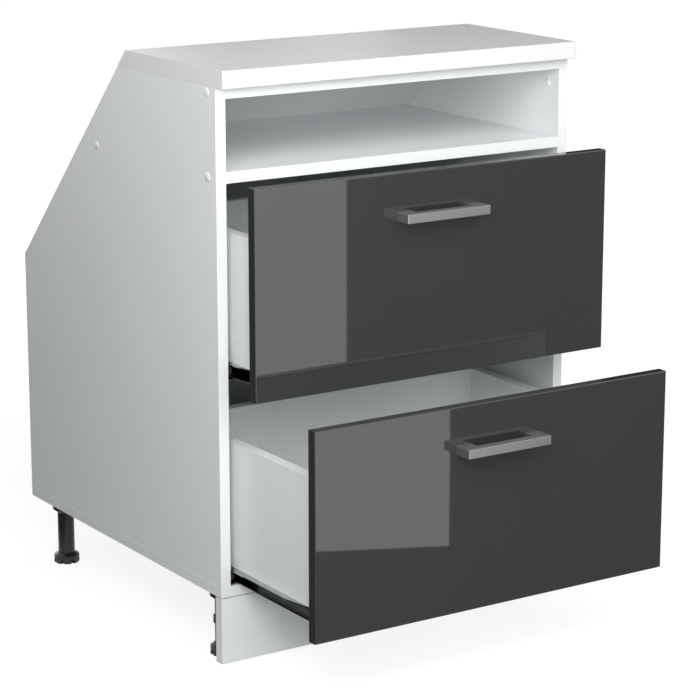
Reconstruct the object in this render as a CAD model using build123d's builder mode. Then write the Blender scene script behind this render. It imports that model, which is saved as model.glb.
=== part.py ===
from build123d import *
from math import atan2, cos, radians, sin
import os

# Sloped ceiling base cabinet: a white board carcass under a pitched roof, with an open niche,
# two gloss fronted drawers on roller runners, a clip-on plinth and four levelling legs.
# Millimetres. X runs left to right, Y from the fronts to the wall, Z up from the floor.
# The origin is on the floor, in the middle of the width and of the depth as drawn.

# Carcass
width = 600.0
depth = 600.0
height = 850.0
knee_height = 495.0
roof_top_depth = 253.0
board = 16.0
back_thickness = 3.0
back_inset = 1.0
edge_ease = 0.6
worktop_thickness = 25.0
worktop_overhang = 20.0
worktop_ease = 1.5
niche_height = 100.0
knee_rail_height = 80.0
knee_rail_drop = 12.0

# Legs, feet and plinth
leg_height = 100.0
leg_inset_side = 30.0
leg_inset_front = 45.0
leg_inset_back = 59.0
flange_radius = 20.0
flange_plate = 5.0
flange_thickness = 12.0
flange_taper = 6.0
stem_radius = 13.0
foot_radius = 20.0
foot_rim_height = 12.0
foot_shoulder_height = 4.5
foot_shoulder_radius = 14.0
foot_notches = 8
foot_notch_width = 5.0
foot_notch_depth = 3.0
foot_notch_height = 7.0
spindle_radius = 6.0
spindle_length = 52.0
spindle_end_gap = 1.0
plinth_floor_gap = 2.0
plinth_top_gap = 1.0
clip_height = 12.0
clip_centre_height = 53.0
clip_wall = 2.0
clip_plate_thickness = 3.0
clip_plate_width = 34.0
clip_neck_width = 9.0
clip_mouth_angle = 110.0
clip_screw_edge = 4.5

# Drawer fronts and boxes
front_thickness = 16.0
front_side_reveal = 2.0
front_gap = 4.5
front_base_reveal = 6.5
front_shelf_overlay = 8.0
front_ease = 1.2
front_rest_gap = 2.0
lower_open = 226.7
upper_open = 78.4
lower_box_length = 400.0
upper_box_length = 300.0
box_height = 184.0
drawer_bottom_thickness = 3.0
drawer_bottom_height = 10.0
groove_depth = 5.0
groove_clearance = 0.4

# Roller runners
runner_gap = 12.5
sheet = 1.2
rail_lift = 1.0
rail_top_lip = 8.5
rail_lip_gap = 1.3
rail_flange = 10.8
rail_front_inset = 3.0
drawer_rail_side_gap = 1.0
drawer_rail_shelf = 11.5
drawer_rail_drop = 20.0
drawer_rail_foot = 1.0
drawer_rail_taper_end = 40.0
drawer_rail_taper_start = 90.0
roller_radius = 9.0
roller_play = 1.1
roller_width = 7.4
roller_ease = 0.6
axle_radius = 2.5
axle_fit = 0.05
axle_head_radius = 3.6
axle_head = 0.6
axle_shoulder_radius = 4.0
front_roller_inset = 14.0
rear_roller_inset = 16.0
running_gap = 0.3

# Handles
handle_width = 140.0
handle_height = 13.0
handle_projection = 30.0
handle_bar_depth = 14.0
handle_leg_width = 23.0
handle_drop = 60.0
handle_hole_spacing = 128.0
handle_ease = 0.8
handle_corner = 1.5

# Fasteners
hole_clearance = 0.1
confirmat_radius = 3.4
confirmat_length = 50.0
confirmat_head_radius = 5.0
confirmat_head_depth = 2.5
cap_radius = 6.5
cap_height = 0.5
screw_inset_front = 23.0
shelf_screw_rear = 346.0
base_screw_depths = (110.0, 300.0, 490.0)
base_dowel_depths = (160.0, 430.0)
shelf_dowel_depth = 184.0
top_dowel_inset = 23.0
knee_dowel_inset = 20.0
dowel_radius = 4.0
dowel_in_face = 11.0
dowel_in_edge = 18.0
connector_cap_drop = 23.0
connector_cap_inset = 25.5
pan_screw_radius = 1.75
pan_screw_bite = 10.0
pan_head_radius = 3.5
pan_head_height = 1.2
worktop_screw_bite = 18.0
worktop_screw_side = 80.0
worktop_screw_edge = 40.0
leg_screw_circle = 15.6
machine_screw_radius = 2.0
machine_screw_bite = 9.0
machine_head_radius = 4.0
machine_head_height = 2.4
cam_radius = 7.4
cam_depth = 12.3
cam_setback = 34.0
cam_heights = (42.0, 142.0)
cam_bolt_radius = 3.0
cam_bolt_head_radius = 3.6
cam_bolt_in_front = 11.0
cam_pocket_radius = 4.2
cam_cross = 7.0
cam_cross_width = 1.4
cam_cross_depth = 1.0
box_screw_heights = (36.0, 148.0)
rail_screw_margin = 40.0

# Places that follow from the sizes above
half_width = width / 2
inner_half = half_width - board
reach_in_front = lower_open + front_rest_gap + front_thickness + handle_projection
carcass_front = (reach_in_front - depth) / 2
carcass_rear = carcass_front + depth
base_top = leg_height + board
worktop_bottom = height - worktop_thickness
top_panel_bottom = worktop_bottom - board
shelf_top = top_panel_bottom - niche_height
shelf_bottom = shelf_top - board
lower_front_bottom = leg_height + front_base_reveal
fronts_top = shelf_bottom + front_shelf_overlay
front_height = (fronts_top - lower_front_bottom - front_gap) / 2
upper_front_bottom = fronts_top - front_height
roof_angle = atan2(height - knee_height, depth - roof_top_depth)
box_half = inner_half - runner_gap
box_inner_half = box_half - board
roller_channel = 2 * roller_radius + roller_play
box_above_front_bottom = base_top + rail_lift + 2 * sheet + roller_channel - lower_front_bottom
legs = {
    "front_left": (-half_width + leg_inset_side, carcass_front + leg_inset_front),
    "front_right": (half_width - leg_inset_side, carcass_front + leg_inset_front),
    "rear_left": (-half_width + leg_inset_side, carcass_rear - leg_inset_back),
    "rear_right": (half_width - leg_inset_side, carcass_rear - leg_inset_back),
}
sides = {"left": -1, "right": 1}
drawers = {
    "lower": (lower_front_bottom, lower_open, lower_box_length),
    "upper": (upper_front_bottom, upper_open, upper_box_length),
}


def roof_y(z, inset):
    """Depth of the roof slope at height z, on a plane set in from it by inset."""
    along = (knee_height - z) * cos(roof_angle) - inset
    return carcass_rear + along / sin(roof_angle)


def roof_z(y, inset):
    """Height of the same plane at depth y."""
    along = (carcass_rear - y) * sin(roof_angle) - inset
    return knee_height + along / cos(roof_angle)


def save(piece, label):
    """Name a finished piece and write it as its own file."""
    piece.part.label = label
    export_step(piece.part, f"parts/{label}.step")


def block(low, high, mode=Mode.ADD):
    """A box between two corners."""
    low_corner = tuple(min(a, b) for a, b in zip(low, high))
    size = [abs(b - a) for a, b in zip(low, high)]
    with Locations(low_corner):
        Box(*size, align=(Align.MIN, Align.MIN, Align.MIN), mode=mode)


def rod(start, direction, radius, length, mode=Mode.ADD):
    """A cylinder that starts at a point and runs along a direction."""
    with Locations(Plane(origin=start, z_dir=direction)):
        Cylinder(radius, length, align=(Align.CENTER, Align.CENTER, Align.MIN), mode=mode)


def drill(start, direction, radius, length):
    """A blind or through hole from a point along a direction."""
    rod(start, direction, radius, length, Mode.SUBTRACT)


def slab(outline, x_low, x_high):
    """A board whose outline is drawn in the Y-Z plane."""
    with BuildSketch(Plane.YZ.offset(x_low)) as profile:
        with BuildLine():
            Polyline(*outline, close=True)
        make_face()
    extrude(profile.sketch, amount=x_high - x_low)


def ease(part, axis, radius=edge_ease):
    """Round the long edges that run along an axis, as an edge band is."""
    fillet(part.edges().filter_by(axis), radius)


def confirmat(start, direction):
    """A flat headed carcass screw, its head flush with the face that it is driven into."""
    with Locations(Plane(origin=start, z_dir=direction)):
        Cone(confirmat_head_radius, confirmat_radius, confirmat_head_depth,
             align=(Align.CENTER, Align.CENTER, Align.MIN))
        Cylinder(confirmat_radius, confirmat_length,
                 align=(Align.CENTER, Align.CENTER, Align.MIN))


def confirmat_hole(start, direction):
    """The countersunk hole for a carcass screw."""
    with Locations(Plane(origin=start, z_dir=direction)):
        Cone(confirmat_head_radius + hole_clearance, confirmat_radius + hole_clearance,
             confirmat_head_depth, align=(Align.CENTER, Align.CENTER, Align.MIN),
             mode=Mode.SUBTRACT)
        Cylinder(confirmat_radius + hole_clearance, confirmat_length + hole_clearance,
                 align=(Align.CENTER, Align.CENTER, Align.MIN), mode=Mode.SUBTRACT)


def pan_screw(seat, direction, bite, head=(pan_head_radius, pan_head_height), shank=pan_screw_radius):
    """A screw whose head stands on the seat and whose shank runs along a direction."""
    head_radius, head_height = head
    back = tuple(-c for c in direction)
    rod(seat, back, head_radius, head_height)
    rod(seat, direction, shank, bite)


os.makedirs("parts", exist_ok=True)

# Fixing points that two or more pieces share, as a seat and a direction.
top_screw_z = top_panel_bottom + board / 2
shelf_screw_z = shelf_bottom + board / 2
side_screws = {
    name: [
        ((side * half_width, carcass_front + screw_inset_front, top_screw_z), (-side, 0, 0)),
        ((side * half_width, carcass_front + screw_inset_front, shelf_screw_z), (-side, 0, 0)),
        ((side * half_width, carcass_front + shelf_screw_rear, shelf_screw_z), (-side, 0, 0)),
    ]
    for name, side in sides.items()
}
base_screws = {
    name: [
        ((side * (half_width - board / 2), carcass_front + along, leg_height), (0, 0, 1))
        for along in base_screw_depths
    ]
    for name, side in sides.items()
}
knee_rail_top = roof_z(carcass_rear - back_thickness, back_thickness) - knee_rail_drop
knee_rail_bottom = knee_rail_top - knee_rail_height
knee_rail_y = carcass_rear - back_thickness - board / 2
top_panel_rear = roof_y(worktop_bottom, back_thickness)
side_dowels = {
    name: [
        (side * inner_half, top_panel_rear - top_dowel_inset, top_screw_z),
        (side * inner_half, carcass_front + shelf_dowel_depth, shelf_screw_z),
        (side * inner_half, knee_rail_y, knee_rail_bottom + knee_dowel_inset),
        (side * inner_half, knee_rail_y, knee_rail_top - knee_dowel_inset),
    ]
    for name, side in sides.items()
}
base_dowels = {
    name: [
        (side * (half_width - board / 2), carcass_front + along, base_top)
        for along in base_dowel_depths
    ]
    for name, side in sides.items()
}
connector_caps = [
    ((side * inner_half, carcass_front + connector_cap_inset,
      top_panel_bottom - connector_cap_drop), (-side, 0, 0))
    for side in sides.values()
]
screw_head_caps = [
    (start, (side, 0, 0)) for name, side in sides.items() for start, direction in side_screws[name]
]
worktop_screws = [
    (x, y, top_panel_bottom)
    for x in (-half_width + worktop_screw_side, half_width - worktop_screw_side)
    for y in (carcass_front + worktop_screw_edge, top_panel_rear - worktop_screw_edge)
]
flange_bottom = leg_height - flange_thickness
leg_screws = {
    name: [
        (x + dx * leg_screw_circle, y + dy * leg_screw_circle, leg_height - flange_plate)
        for dx, dy in ((1, 0), (0, 1), (-1, 0), (0, -1))
    ]
    for name, (x, y) in legs.items()
}
clip_seat_y = carcass_front + board + clip_plate_thickness
clip_screws = [
    (x + dx, clip_seat_y, clip_centre_height)
    for x, y in (legs["front_left"], legs["front_right"])
    for dx in (clip_screw_edge - clip_plate_width / 2, clip_plate_width / 2 - clip_screw_edge)
]


def front_back(drawer):
    """Depth of the back face of a drawer's front, at the opening drawn."""
    return carcass_front - front_rest_gap - drawers[drawer][1]


def box_bottom(drawer):
    """Underside of a drawer's sides."""
    return drawers[drawer][0] + box_above_front_bottom


def rail_length(drawer):
    """A runner is as long as its drawer's sides."""
    return drawers[drawer][2]


def rail_floor(drawer):
    """Top of the flange that the rear roller runs on."""
    return box_bottom(drawer) - sheet - roller_channel


def rail_screw_points(drawer, side):
    """Where a carcass rail is screwed to the side panel, on the face of the rail's wall."""
    start = carcass_front + rail_front_inset + rail_screw_margin
    end = carcass_front + rail_front_inset + rail_length(drawer) - rail_screw_margin
    z = rail_floor(drawer) + roller_channel / 2
    x = side * (inner_half - sheet)
    return [(x, y, z) for y in (start, (start + end) / 2, end)]


# The base carries the side panels, so they stand on it and are screwed from below.
with BuildPart() as base_panel:
    block((-half_width, carcass_front, leg_height),
          (half_width, carcass_rear - back_thickness, base_top))
    end_edges = base_panel.edges().filter_by(Axis.Y)
    fillet(base_panel.edges().filter_by(Axis.X) + end_edges, edge_ease)
    for name in sides:
        for start, direction in base_screws[name]:
            confirmat_hole(start, direction)
        for x, y, z in base_dowels[name]:
            drill((x, y, z), (0, 0, -1), dowel_radius + hole_clearance, dowel_in_face)
    for name in legs:
        for x, y, z in leg_screws[name]:
            drill((x, y, leg_height), (0, 0, 1), pan_screw_radius + hole_clearance, pan_screw_bite)
save(base_panel, "base_panel")

# Each side panel is cut to the roof slope, behind which the thin back is nailed.
side_outline = [
    (carcass_front, base_top),
    (carcass_rear - back_thickness, base_top),
    (carcass_rear - back_thickness, roof_z(carcass_rear - back_thickness, back_thickness)),
    (top_panel_rear, worktop_bottom),
    (carcass_front, worktop_bottom),
]
for name, side in sides.items():
    with BuildPart() as side_panel:
        slab(side_outline, min(side * half_width, side * inner_half),
             max(side * half_width, side * inner_half))
        ease(side_panel, Axis.Z)
        joint_edges = side_panel.edges().filter_by(Axis.Y).group_by(Axis.Z)
        fillet(joint_edges[0] + joint_edges[-1], edge_ease)
        for start, direction in side_screws[name]:
            confirmat_hole(start, direction)
        for start, direction in base_screws[name]:
            confirmat_hole(start, direction)
        for x, y, z in side_dowels[name]:
            drill((x, y, z), (side, 0, 0), dowel_radius + hole_clearance, dowel_in_face)
        for x, y, z in base_dowels[name]:
            drill((x, y, z), (0, 0, 1), dowel_radius + hole_clearance, dowel_in_edge)
        for drawer in drawers:
            for x, y, z in rail_screw_points(drawer, side):
                drill((side * inner_half, y, z), (side, 0, 0), pan_screw_radius + hole_clearance,
                      pan_screw_bite)
    save(side_panel, f"{name}_side_panel")

# The niche's floor and ceiling run back to the slope, and their rear edges are cut to it.
for label, low, high in (("niche_shelf", shelf_bottom, shelf_top),
                         ("top_panel", top_panel_bottom, worktop_bottom)):
    with BuildPart() as cross_board:
        slab([(carcass_front, low), (roof_y(low, back_thickness), low),
              (roof_y(high, back_thickness), high), (carcass_front, high)],
             -inner_half, inner_half)
        ease(cross_board, Axis.X, edge_ease / 2)
        for name, side in sides.items():
            for start, direction in side_screws[name]:
                if low < start[2] < high:
                    confirmat_hole(start, direction)
            for x, y, z in side_dowels[name]:
                if low < z < high:
                    drill((x, y, z), (-side, 0, 0), dowel_radius + hole_clearance, dowel_in_edge)
        if label == "top_panel":
            for x, y, z in worktop_screws:
                drill((x, y, z), (0, 0, 1), pan_screw_radius + hole_clearance, board)
    save(cross_board, label)

# The worktop oversails the carcass in front and ends in a bevel along the roof.
with BuildPart() as worktop:
    slab([(carcass_front - worktop_overhang, worktop_bottom),
          (roof_y(worktop_bottom, 0), worktop_bottom),
          (roof_y(height, 0), height),
          (carcass_front - worktop_overhang, height)], -half_width, half_width)
    front_edges = worktop.edges().filter_by(Axis.X).group_by(Axis.Y)[0]
    fillet(front_edges, worktop_ease)
    fillet(worktop.edges().filter_by(Axis.Y).group_by(Axis.Z)[-1], edge_ease)
    for x, y, z in worktop_screws:
        drill((x, y, worktop_bottom), (0, 0, 1), pan_screw_radius + hole_clearance, worktop_screw_bite)
save(worktop, "worktop")

# Thin white backs: one upright, one on the slope, mitred where they meet.
knee_inner = (carcass_rear - back_thickness, roof_z(carcass_rear - back_thickness, back_thickness))
knee_outer = (carcass_rear, knee_height)
with BuildPart() as vertical_back_panel:
    slab([(carcass_rear - back_thickness, leg_height + back_inset),
          (carcass_rear, leg_height + back_inset), knee_outer, knee_inner],
         -half_width + back_inset, half_width - back_inset)
save(vertical_back_panel, "vertical_back_panel")
with BuildPart() as sloped_back_panel:
    slab([knee_inner, knee_outer, (roof_y(worktop_bottom, 0), worktop_bottom),
          (roof_y(worktop_bottom, back_thickness), worktop_bottom)],
         -half_width + back_inset, half_width - back_inset)
save(sloped_back_panel, "sloped_back_panel")

# A rail between the sides stiffens the carcass at the knee and takes the back's nails.
with BuildPart() as knee_rail:
    block((-inner_half, carcass_rear - back_thickness - board, knee_rail_bottom),
          (inner_half, carcass_rear - back_thickness, knee_rail_top))
    for name, side in sides.items():
        for x, y, z in side_dowels[name]:
            if knee_rail_bottom < z < knee_rail_top:
                drill((x, y, z), (-side, 0, 0), dowel_radius + hole_clearance, dowel_in_edge)
save(knee_rail, "knee_rail")

# The plinth hangs on the two front legs by clips and clears the floor.
with BuildPart() as plinth_panel:
    block((-half_width, carcass_front, plinth_floor_gap),
          (half_width, carcass_front + board, leg_height - plinth_top_gap))
    ease(plinth_panel, Axis.X)
    for x, y, z in clip_screws:
        drill((x, carcass_front + board, z), (0, -1, 0), pan_screw_radius + hole_clearance,
              pan_screw_bite)
save(plinth_panel, "plinth_panel")

# Each clip is an open ring that snaps round a leg, on a neck and a screwed plate.
clip_ring_inner = stem_radius + running_gap
clip_ring_outer = clip_ring_inner + clip_wall
with BuildPart() as plinth_clips:
    for x, y in (legs["front_left"], legs["front_right"]):
        with BuildSketch(Plane.XY.offset(clip_centre_height - clip_height / 2)):
            with Locations((x, y)):
                Circle(clip_ring_outer)
            with Locations((x, (clip_seat_y + y) / 2)):
                Rectangle(clip_neck_width, y - clip_seat_y)
            with Locations((x, clip_seat_y - clip_plate_thickness / 2)):
                Rectangle(clip_plate_width, clip_plate_thickness)
            with Locations((x, y)):
                Circle(clip_ring_inner, mode=Mode.SUBTRACT)
            with BuildLine():
                reach = 2 * clip_ring_outer
                half_mouth = clip_mouth_angle / 2
                mouth = [(x + reach * sin(radian), y + reach * cos(radian))
                         for radian in (radians(-half_mouth), radians(half_mouth))]
                Polyline((x, y), *mouth, close=True)
            make_face(mode=Mode.SUBTRACT)
        extrude(amount=clip_height)
    for x, y, z in clip_screws:
        drill((x, clip_seat_y, z), (0, -1, 0), pan_screw_radius + hole_clearance, clip_plate_thickness)
save(plinth_clips, "plinth_clips")

# Four levelling legs: a screwed flange, a slim stem, and a bore for the foot's spindle.
stem_bottom = foot_rim_height + foot_shoulder_height + running_gap
for name, (x, y) in legs.items():
    with BuildPart() as leg:
        rod((x, y, flange_bottom), (0, 0, 1), flange_radius, flange_thickness)
        with Locations((x, y, flange_bottom)):
            Cone(stem_radius, flange_radius - edge_ease, flange_taper,
                 align=(Align.CENTER, Align.CENTER, Align.MAX))
        rod((x, y, stem_bottom), (0, 0, 1), stem_radius, flange_bottom - stem_bottom)
        drill((x, y, stem_bottom), (0, 0, 1), spindle_radius + axle_fit,
              spindle_length + spindle_end_gap)
        for seat in leg_screws[name]:
            drill(seat, (0, 0, 1), pan_screw_radius + hole_clearance, flange_plate)
            drill(seat, (0, 0, -1), pan_head_radius + hole_clearance,
                  flange_thickness - flange_plate + flange_taper)
    save(leg, f"{name}_leg")

# A foot turns up and down in each leg, so its wide disc is notched for a spanner.
for name, (x, y) in legs.items():
    with BuildPart() as foot:
        rod((x, y, 0), (0, 0, 1), foot_radius, foot_rim_height)
        with Locations((x, y, foot_rim_height)):
            Cone(foot_radius, foot_shoulder_radius, foot_shoulder_height,
                 align=(Align.CENTER, Align.CENTER, Align.MIN))
        with Locations((x, y, foot_notch_height / 2)):
            with PolarLocations(foot_radius, foot_notches):
                Box(2 * foot_notch_depth, foot_notch_width, foot_notch_height, mode=Mode.SUBTRACT)
        rod((x, y, foot_rim_height + foot_shoulder_height), (0, 0, 1), spindle_radius,
            spindle_length)
    save(foot, f"{name}_foot")

# Thin round caps hide the heads of the screws and of the wall cabinet connectors.
with BuildPart() as screw_caps:
    for start, outward in screw_head_caps + connector_caps:
        rod(start, outward, cap_radius, cap_height)
save(screw_caps, "screw_caps")

# Carcass screws run through the sides into the cross boards, and up through the base.
with BuildPart() as carcass_screws:
    for name in sides:
        for start, direction in side_screws[name] + base_screws[name]:
            confirmat(start, direction)
save(carcass_screws, "carcass_screws")

# Glued wooden dowels place the boards where no screw goes through.
dowel_reach_in_face = dowel_in_face - running_gap
dowel_length = dowel_reach_in_face + dowel_in_edge - running_gap
with BuildPart() as carcass_dowels:
    for name, side in sides.items():
        for x, y, z in side_dowels[name]:
            rod((x + side * dowel_reach_in_face, y, z), (-side, 0, 0), dowel_radius, dowel_length)
        for x, y, z in base_dowels[name]:
            rod((x, y, z - dowel_reach_in_face), (0, 0, 1), dowel_radius, dowel_length)
save(carcass_dowels, "carcass_dowels")

with BuildPart() as worktop_fixing_screws:
    for seat in worktop_screws:
        pan_screw(seat, (0, 0, 1), board + worktop_screw_bite - hole_clearance)
save(worktop_fixing_screws, "worktop_screws")

# The same small screws hold the legs, the plinth clips and the carcass halves of the runners.
with BuildPart() as fixing_screws:
    for name in legs:
        for seat in leg_screws[name]:
            pan_screw(seat, (0, 0, 1), flange_plate + pan_screw_bite - hole_clearance)
    for x, y, z in clip_screws:
        pan_screw((x, y, z), (0, -1, 0), clip_plate_thickness + pan_screw_bite - hole_clearance)
    for drawer in drawers:
        for side in sides.values():
            for seat in rail_screw_points(drawer, side):
                pan_screw(seat, (side, 0, 0), sheet + pan_screw_bite - hole_clearance)
save(fixing_screws, "fixing_screws")

# Each drawer runs on four folded rails: two in the carcass and two under its sides.
rail_wall_x = inner_half - sheet
axle_z_in_channel = roller_channel - running_gap - roller_radius
axle_bore = axle_radius + axle_fit
axle_run = roller_width + 2 * running_gap


def roller(x, y, z, side, label):
    """A plastic roller whose inner face is at x and whose bore turns on a riveted axle."""
    with BuildPart() as wheel:
        rod((x, y, z), (side, 0, 0), roller_radius, roller_width)
        fillet(wheel.edges().filter_by(GeomType.CIRCLE), roller_ease)
        drill((x, y, z), (side, 0, 0), axle_bore, roller_width)
    save(wheel, label)


for drawer, (front_bottom, opening, length) in drawers.items():
    bottom = box_bottom(drawer)
    floor = rail_floor(drawer)
    face = front_back(drawer)
    rail_back = carcass_front + rail_front_inset + length
    rail_top = bottom + rail_lip_gap + sheet
    front_axle_z = floor + axle_z_in_channel
    front_axle_y = carcass_front + front_roller_inset
    rear_axle_z = floor + running_gap + roller_radius
    rear_axle_y = face + length - rear_roller_inset
    side_middle = box_half - board / 2
    rail_seat_x = box_half - (drawer_rail_shelf - sheet) / 2
    drawer_rail_seats = {
        name: [
            (side * rail_seat_x, face + along, bottom - sheet)
            for along in (rail_screw_margin, length / 2, length - rail_screw_margin)
        ]
        for name, side in sides.items()
    }

    for name, side in sides.items():
        # The carcass rail is a C that the drawer's rear roller runs in.
        with BuildPart() as carcass_rail:
            wall = side * rail_wall_x
            front = carcass_front + rail_front_inset
            block((side * inner_half, front, floor - sheet), (wall, rail_back, rail_top))
            block((side * inner_half, front, floor - sheet),
                  (side * (inner_half - rail_flange), rail_back, floor))
            block((side * inner_half, front, rail_top - sheet),
                  (side * (inner_half - rail_top_lip), rail_back, rail_top))
            rod((wall, front_axle_y, front_axle_z), (-side, 0, 0), axle_radius,
                axle_run + axle_head)
            rod((wall - side * axle_run, front_axle_y, front_axle_z), (-side, 0, 0),
                axle_head_radius, axle_head)
            for x, y, z in rail_screw_points(drawer, side):
                drill((x, y, z), (side, 0, 0), pan_screw_radius + hole_clearance, sheet)
        save(carcass_rail, f"{drawer}_{name}_carcass_rail")
        roller(wall - side * running_gap, front_axle_y, front_axle_z, -side,
               f"{drawer}_{name}_front_roller")

        # The drawer rail is a C under the drawer's side, whose wide lip rides on the front roller.
        lip_x = side * (rail_wall_x - drawer_rail_side_gap)
        web_x = side * (box_half - drawer_rail_shelf)
        outer_web_x = web_x + side * sheet
        foot_x = side * (box_half + drawer_rail_foot)
        rear_roller_x = side * (box_half + sheet + running_gap)
        with BuildPart() as drawer_rail:
            with BuildSketch(Plane.XY.offset(bottom - sheet)):
                with BuildLine():
                    Polyline((web_x, face), (foot_x, face), (foot_x, face + drawer_rail_taper_end),
                             (lip_x, face + drawer_rail_taper_start), (lip_x, face + length),
                             (web_x, face + length), close=True)
                make_face()
            extrude(amount=sheet)
            block((web_x, face, bottom - drawer_rail_drop), (outer_web_x, face + length, bottom))
            block((web_x, face, bottom - drawer_rail_drop),
                  (foot_x, face + length, bottom - drawer_rail_drop + sheet))
            rod((outer_web_x, rear_axle_y, rear_axle_z), (side, 0, 0), axle_shoulder_radius,
                abs(rear_roller_x - outer_web_x) - running_gap)
            rod((rear_roller_x, rear_axle_y, rear_axle_z), (side, 0, 0), axle_radius,
                roller_width + running_gap + axle_head)
            rod((rear_roller_x - side * running_gap, rear_axle_y, rear_axle_z), (side, 0, 0),
                axle_radius, running_gap)
            rod((rear_roller_x + side * (roller_width + running_gap), rear_axle_y, rear_axle_z),
                (side, 0, 0), axle_head_radius, axle_head)
            for seat in drawer_rail_seats[name]:
                drill(seat, (0, 0, 1), pan_screw_radius + hole_clearance, sheet)
        save(drawer_rail, f"{drawer}_{name}_drawer_rail")
        roller(rear_roller_x, rear_axle_y, rear_axle_z, side, f"{drawer}_{name}_rear_roller")

    # Points that the drawer's own pieces share.
    handle_z = front_bottom + front_height - handle_drop
    handle_screw_points = [(x * handle_hole_spacing / 2, face, handle_z) for x in (-1, 1)]
    bolt_points = {
        name: [(side * side_middle, face, bottom + h) for h in cam_heights]
        for name, side in sides.items()
    }
    rear_points = {
        name: [(side * side_middle, face + length + board, bottom + h) for h in box_screw_heights]
        for name, side in sides.items()
    }
    sheet_bottom = bottom + drawer_bottom_height
    groove_top = sheet_bottom + drawer_bottom_thickness + groove_clearance
    groove_bite = groove_depth - groove_clearance

    # The gloss front is wider and taller than the box and covers the carcass edges.
    with BuildPart() as front_panel:
        block((-half_width + front_side_reveal, face - front_thickness, front_bottom),
              (half_width - front_side_reveal, face, front_bottom + front_height))
        outer_edges = front_panel.faces().sort_by(Axis.Y)[0].edges()
        fillet(outer_edges, front_ease)
        block((-box_inner_half, face - groove_depth, sheet_bottom),
              (box_inner_half, face, groove_top), Mode.SUBTRACT)
        for point in handle_screw_points:
            drill(point, (0, -1, 0), machine_screw_radius + hole_clearance, front_thickness)
        for name in sides:
            for point in bolt_points[name]:
                drill(point, (0, -1, 0), cam_bolt_radius + hole_clearance, cam_bolt_in_front)
    save(front_panel, f"{drawer}_drawer_front")

    # The two sides take cam bolts at the front, screws at the back and the bottom's groove.
    for name, side in sides.items():
        with BuildPart() as drawer_side:
            block((side * box_inner_half, face, bottom),
                  (side * box_half, face + length, bottom + box_height))
            top_edges = drawer_side.edges().filter_by(Axis.Y).group_by(Axis.Z)[-1]
            fillet(top_edges, edge_ease)
            block((side * box_inner_half, face, sheet_bottom),
                  (side * (box_inner_half + groove_depth), face + length, groove_top),
                  Mode.SUBTRACT)
            for h in cam_heights:
                drill((side * box_inner_half, face + cam_setback, bottom + h), (side, 0, 0),
                      cam_radius + hole_clearance, cam_depth + hole_clearance)
            for point in bolt_points[name]:
                drill(point, (0, 1, 0), cam_bolt_head_radius + hole_clearance, cam_setback)
            for x, y, z in rear_points[name]:
                drill((x, face + length, z), (0, -1, 0), confirmat_radius + hole_clearance,
                      confirmat_length - board + hole_clearance)
            for x, y, z in drawer_rail_seats[name]:
                drill((x, y, bottom), (0, 0, 1), pan_screw_radius + hole_clearance, pan_screw_bite)
        save(drawer_side, f"{drawer}_drawer_{name}_side")

    # The back stands behind the ends of the sides.
    with BuildPart() as drawer_back:
        block((-box_half, face + length, bottom),
              (box_half, face + length + board, bottom + box_height))
        top_edges = drawer_back.edges().filter_by(Axis.X).group_by(Axis.Z)[-1]
        fillet(top_edges, edge_ease)
        block((-box_inner_half, face + length, sheet_bottom),
              (box_inner_half, face + length + groove_depth, groove_top), Mode.SUBTRACT)
        for name in sides:
            for point in rear_points[name]:
                confirmat_hole(point, (0, -1, 0))
    save(drawer_back, f"{drawer}_drawer_back")

    with BuildPart() as drawer_bottom:
        block((-box_inner_half - groove_bite, face + length + groove_bite, sheet_bottom),
              (box_inner_half + groove_bite, face, sheet_bottom + drawer_bottom_thickness))
        block((-box_inner_half + groove_clearance, face - groove_bite, sheet_bottom),
              (box_inner_half - groove_clearance, face, sheet_bottom + drawer_bottom_thickness))
        for side in sides.values():
            block((side * (box_inner_half - groove_clearance), face + length, sheet_bottom),
                  (side * (box_half + groove_bite), face + length + groove_bite,
                   sheet_bottom + drawer_bottom_thickness), Mode.SUBTRACT)
    save(drawer_bottom, f"{drawer}_drawer_bottom")

    # The handle is one bent bar, flat and square, with its legs screwed from inside the front.
    with BuildPart() as handle:
        front_y = face - front_thickness
        block((-handle_width / 2, front_y - handle_projection, handle_z - handle_height / 2),
              (handle_width / 2, front_y, handle_z + handle_height / 2))
        outer_corners = handle.edges().filter_by(Axis.Z).group_by(Axis.Y)[0]
        fillet(outer_corners, handle_corner)
        slot_half = handle_width / 2 - handle_leg_width
        block((-slot_half, front_y - handle_projection + handle_bar_depth, handle_z - handle_height),
              (slot_half, front_y, handle_z + handle_height), Mode.SUBTRACT)
        long_edges = handle.faces().sort_by(Axis.Y)[0].edges().filter_by(Axis.X)
        fillet(long_edges, handle_ease)
        for x, y, z in handle_screw_points:
            drill((x, front_y, z), (0, -1, 0), machine_screw_radius + hole_clearance,
                  machine_screw_bite)
    save(handle, f"{drawer}_handle")

    with BuildPart() as handle_screws:
        for point in handle_screw_points:
            pan_screw(point, (0, -1, 0), front_thickness + machine_screw_bite - hole_clearance,
                      (machine_head_radius, machine_head_height), machine_screw_radius)
    save(handle_screws, f"{drawer}_handle_screws")

    # Cam locks in the sides pull the front tight by the heads of its bolts.
    with BuildPart() as cam_locks:
        for name, side in sides.items():
            for h in cam_heights:
                centre = (side * box_inner_half, face + cam_setback, bottom + h)
                rod(centre, (side, 0, 0), cam_radius, cam_depth)
                drill((side * side_middle, face + cam_setback + cam_bolt_head_radius, bottom + h),
                      (0, -1, 0), cam_pocket_radius, 2 * cam_radius)
                for along_y, along_z in ((cam_cross, cam_cross_width), (cam_cross_width, cam_cross)):
                    with Locations(centre):
                        Box(2 * cam_cross_depth, along_y, along_z, mode=Mode.SUBTRACT)
    save(cam_locks, f"{drawer}_cam_locks")

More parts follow.
